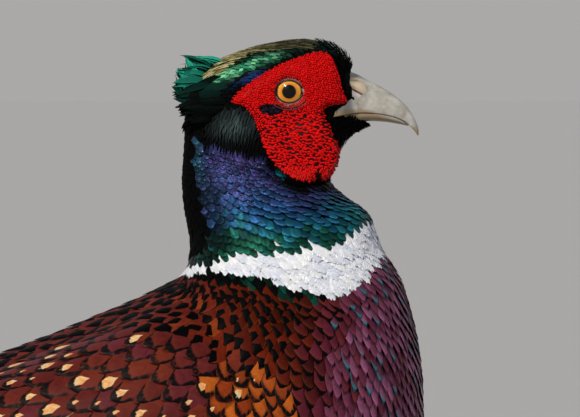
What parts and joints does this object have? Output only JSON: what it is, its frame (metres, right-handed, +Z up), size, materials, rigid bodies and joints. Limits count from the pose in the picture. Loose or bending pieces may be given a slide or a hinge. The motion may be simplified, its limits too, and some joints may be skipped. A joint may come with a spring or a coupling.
{
  "type": "common pheasant",
  "caption": "Standing cock pheasant at life size, with a white neck ring, red wattles, folded wings and a long pointed tail.",
  "frame": {"origin": "middle of the ground under the bird's whole length and width, bill tip to tail tip", "axes": "+X forwards, tail to bill; +Y to the bird's left; +Z up"},
  "size_m": [0.7736, 0.1448, 0.3614],
  "materials": {
    "head_plumage": "glossy dark green feather",
    "wattle_skin": "bare red skin",
    "bill_horn": "pale horn",
    "eye_amber": "amber eye, opaque and wet",
    "neck_plumage": "glossy blue feather",
    "ring_plumage": "white feather",
    "breast_plumage": "copper and purple feather",
    "mantle_plumage": "copper feather with black marks",
    "rump_plumage": "grey-green and rust feather",
    "wing_plumage": "buff and brown feather",
    "tail_plumage": "buff feather with dark bars",
    "thigh_plumage": "dark brown feather",
    "leg_scales": "grey horny scales",
    "claw_horn": "dark horn",
    "spur_horn": "grey horn"
  },
  "bodies": {
    "root": {"rump": "rump_plumage", "torso": "mantle_plumage", "breast": "breast_plumage", "collar": "ring_plumage", "neck": "neck_plumage", "head": "head_plumage", "bill_upper": "bill_horn", "bill_lower": "bill_horn", "wattle_left": "wattle_skin", "wattle_right": "wattle_skin", "eye_left": "eye_amber", "eye_right": "eye_amber", "wing_left": "wing_plumage", "wing_right": "wing_plumage", "tail": "tail_plumage", "thigh_left": "thigh_plumage", "leg_left": "leg_scales", "foot_left": "leg_scales", "spur_left": "spur_horn", "claw_inner_left": "claw_horn", "claw_middle_left": "claw_horn", "claw_outer_left": "claw_horn", "claw_hind_left": "claw_horn", "thigh_right": "thigh_plumage", "leg_right": "leg_scales", "foot_right": "leg_scales", "spur_right": "spur_horn", "claw_inner_right": "claw_horn", "claw_middle_right": "claw_horn", "claw_outer_right": "claw_horn", "claw_hind_right": "claw_horn"}
  },
  "joints": []
}
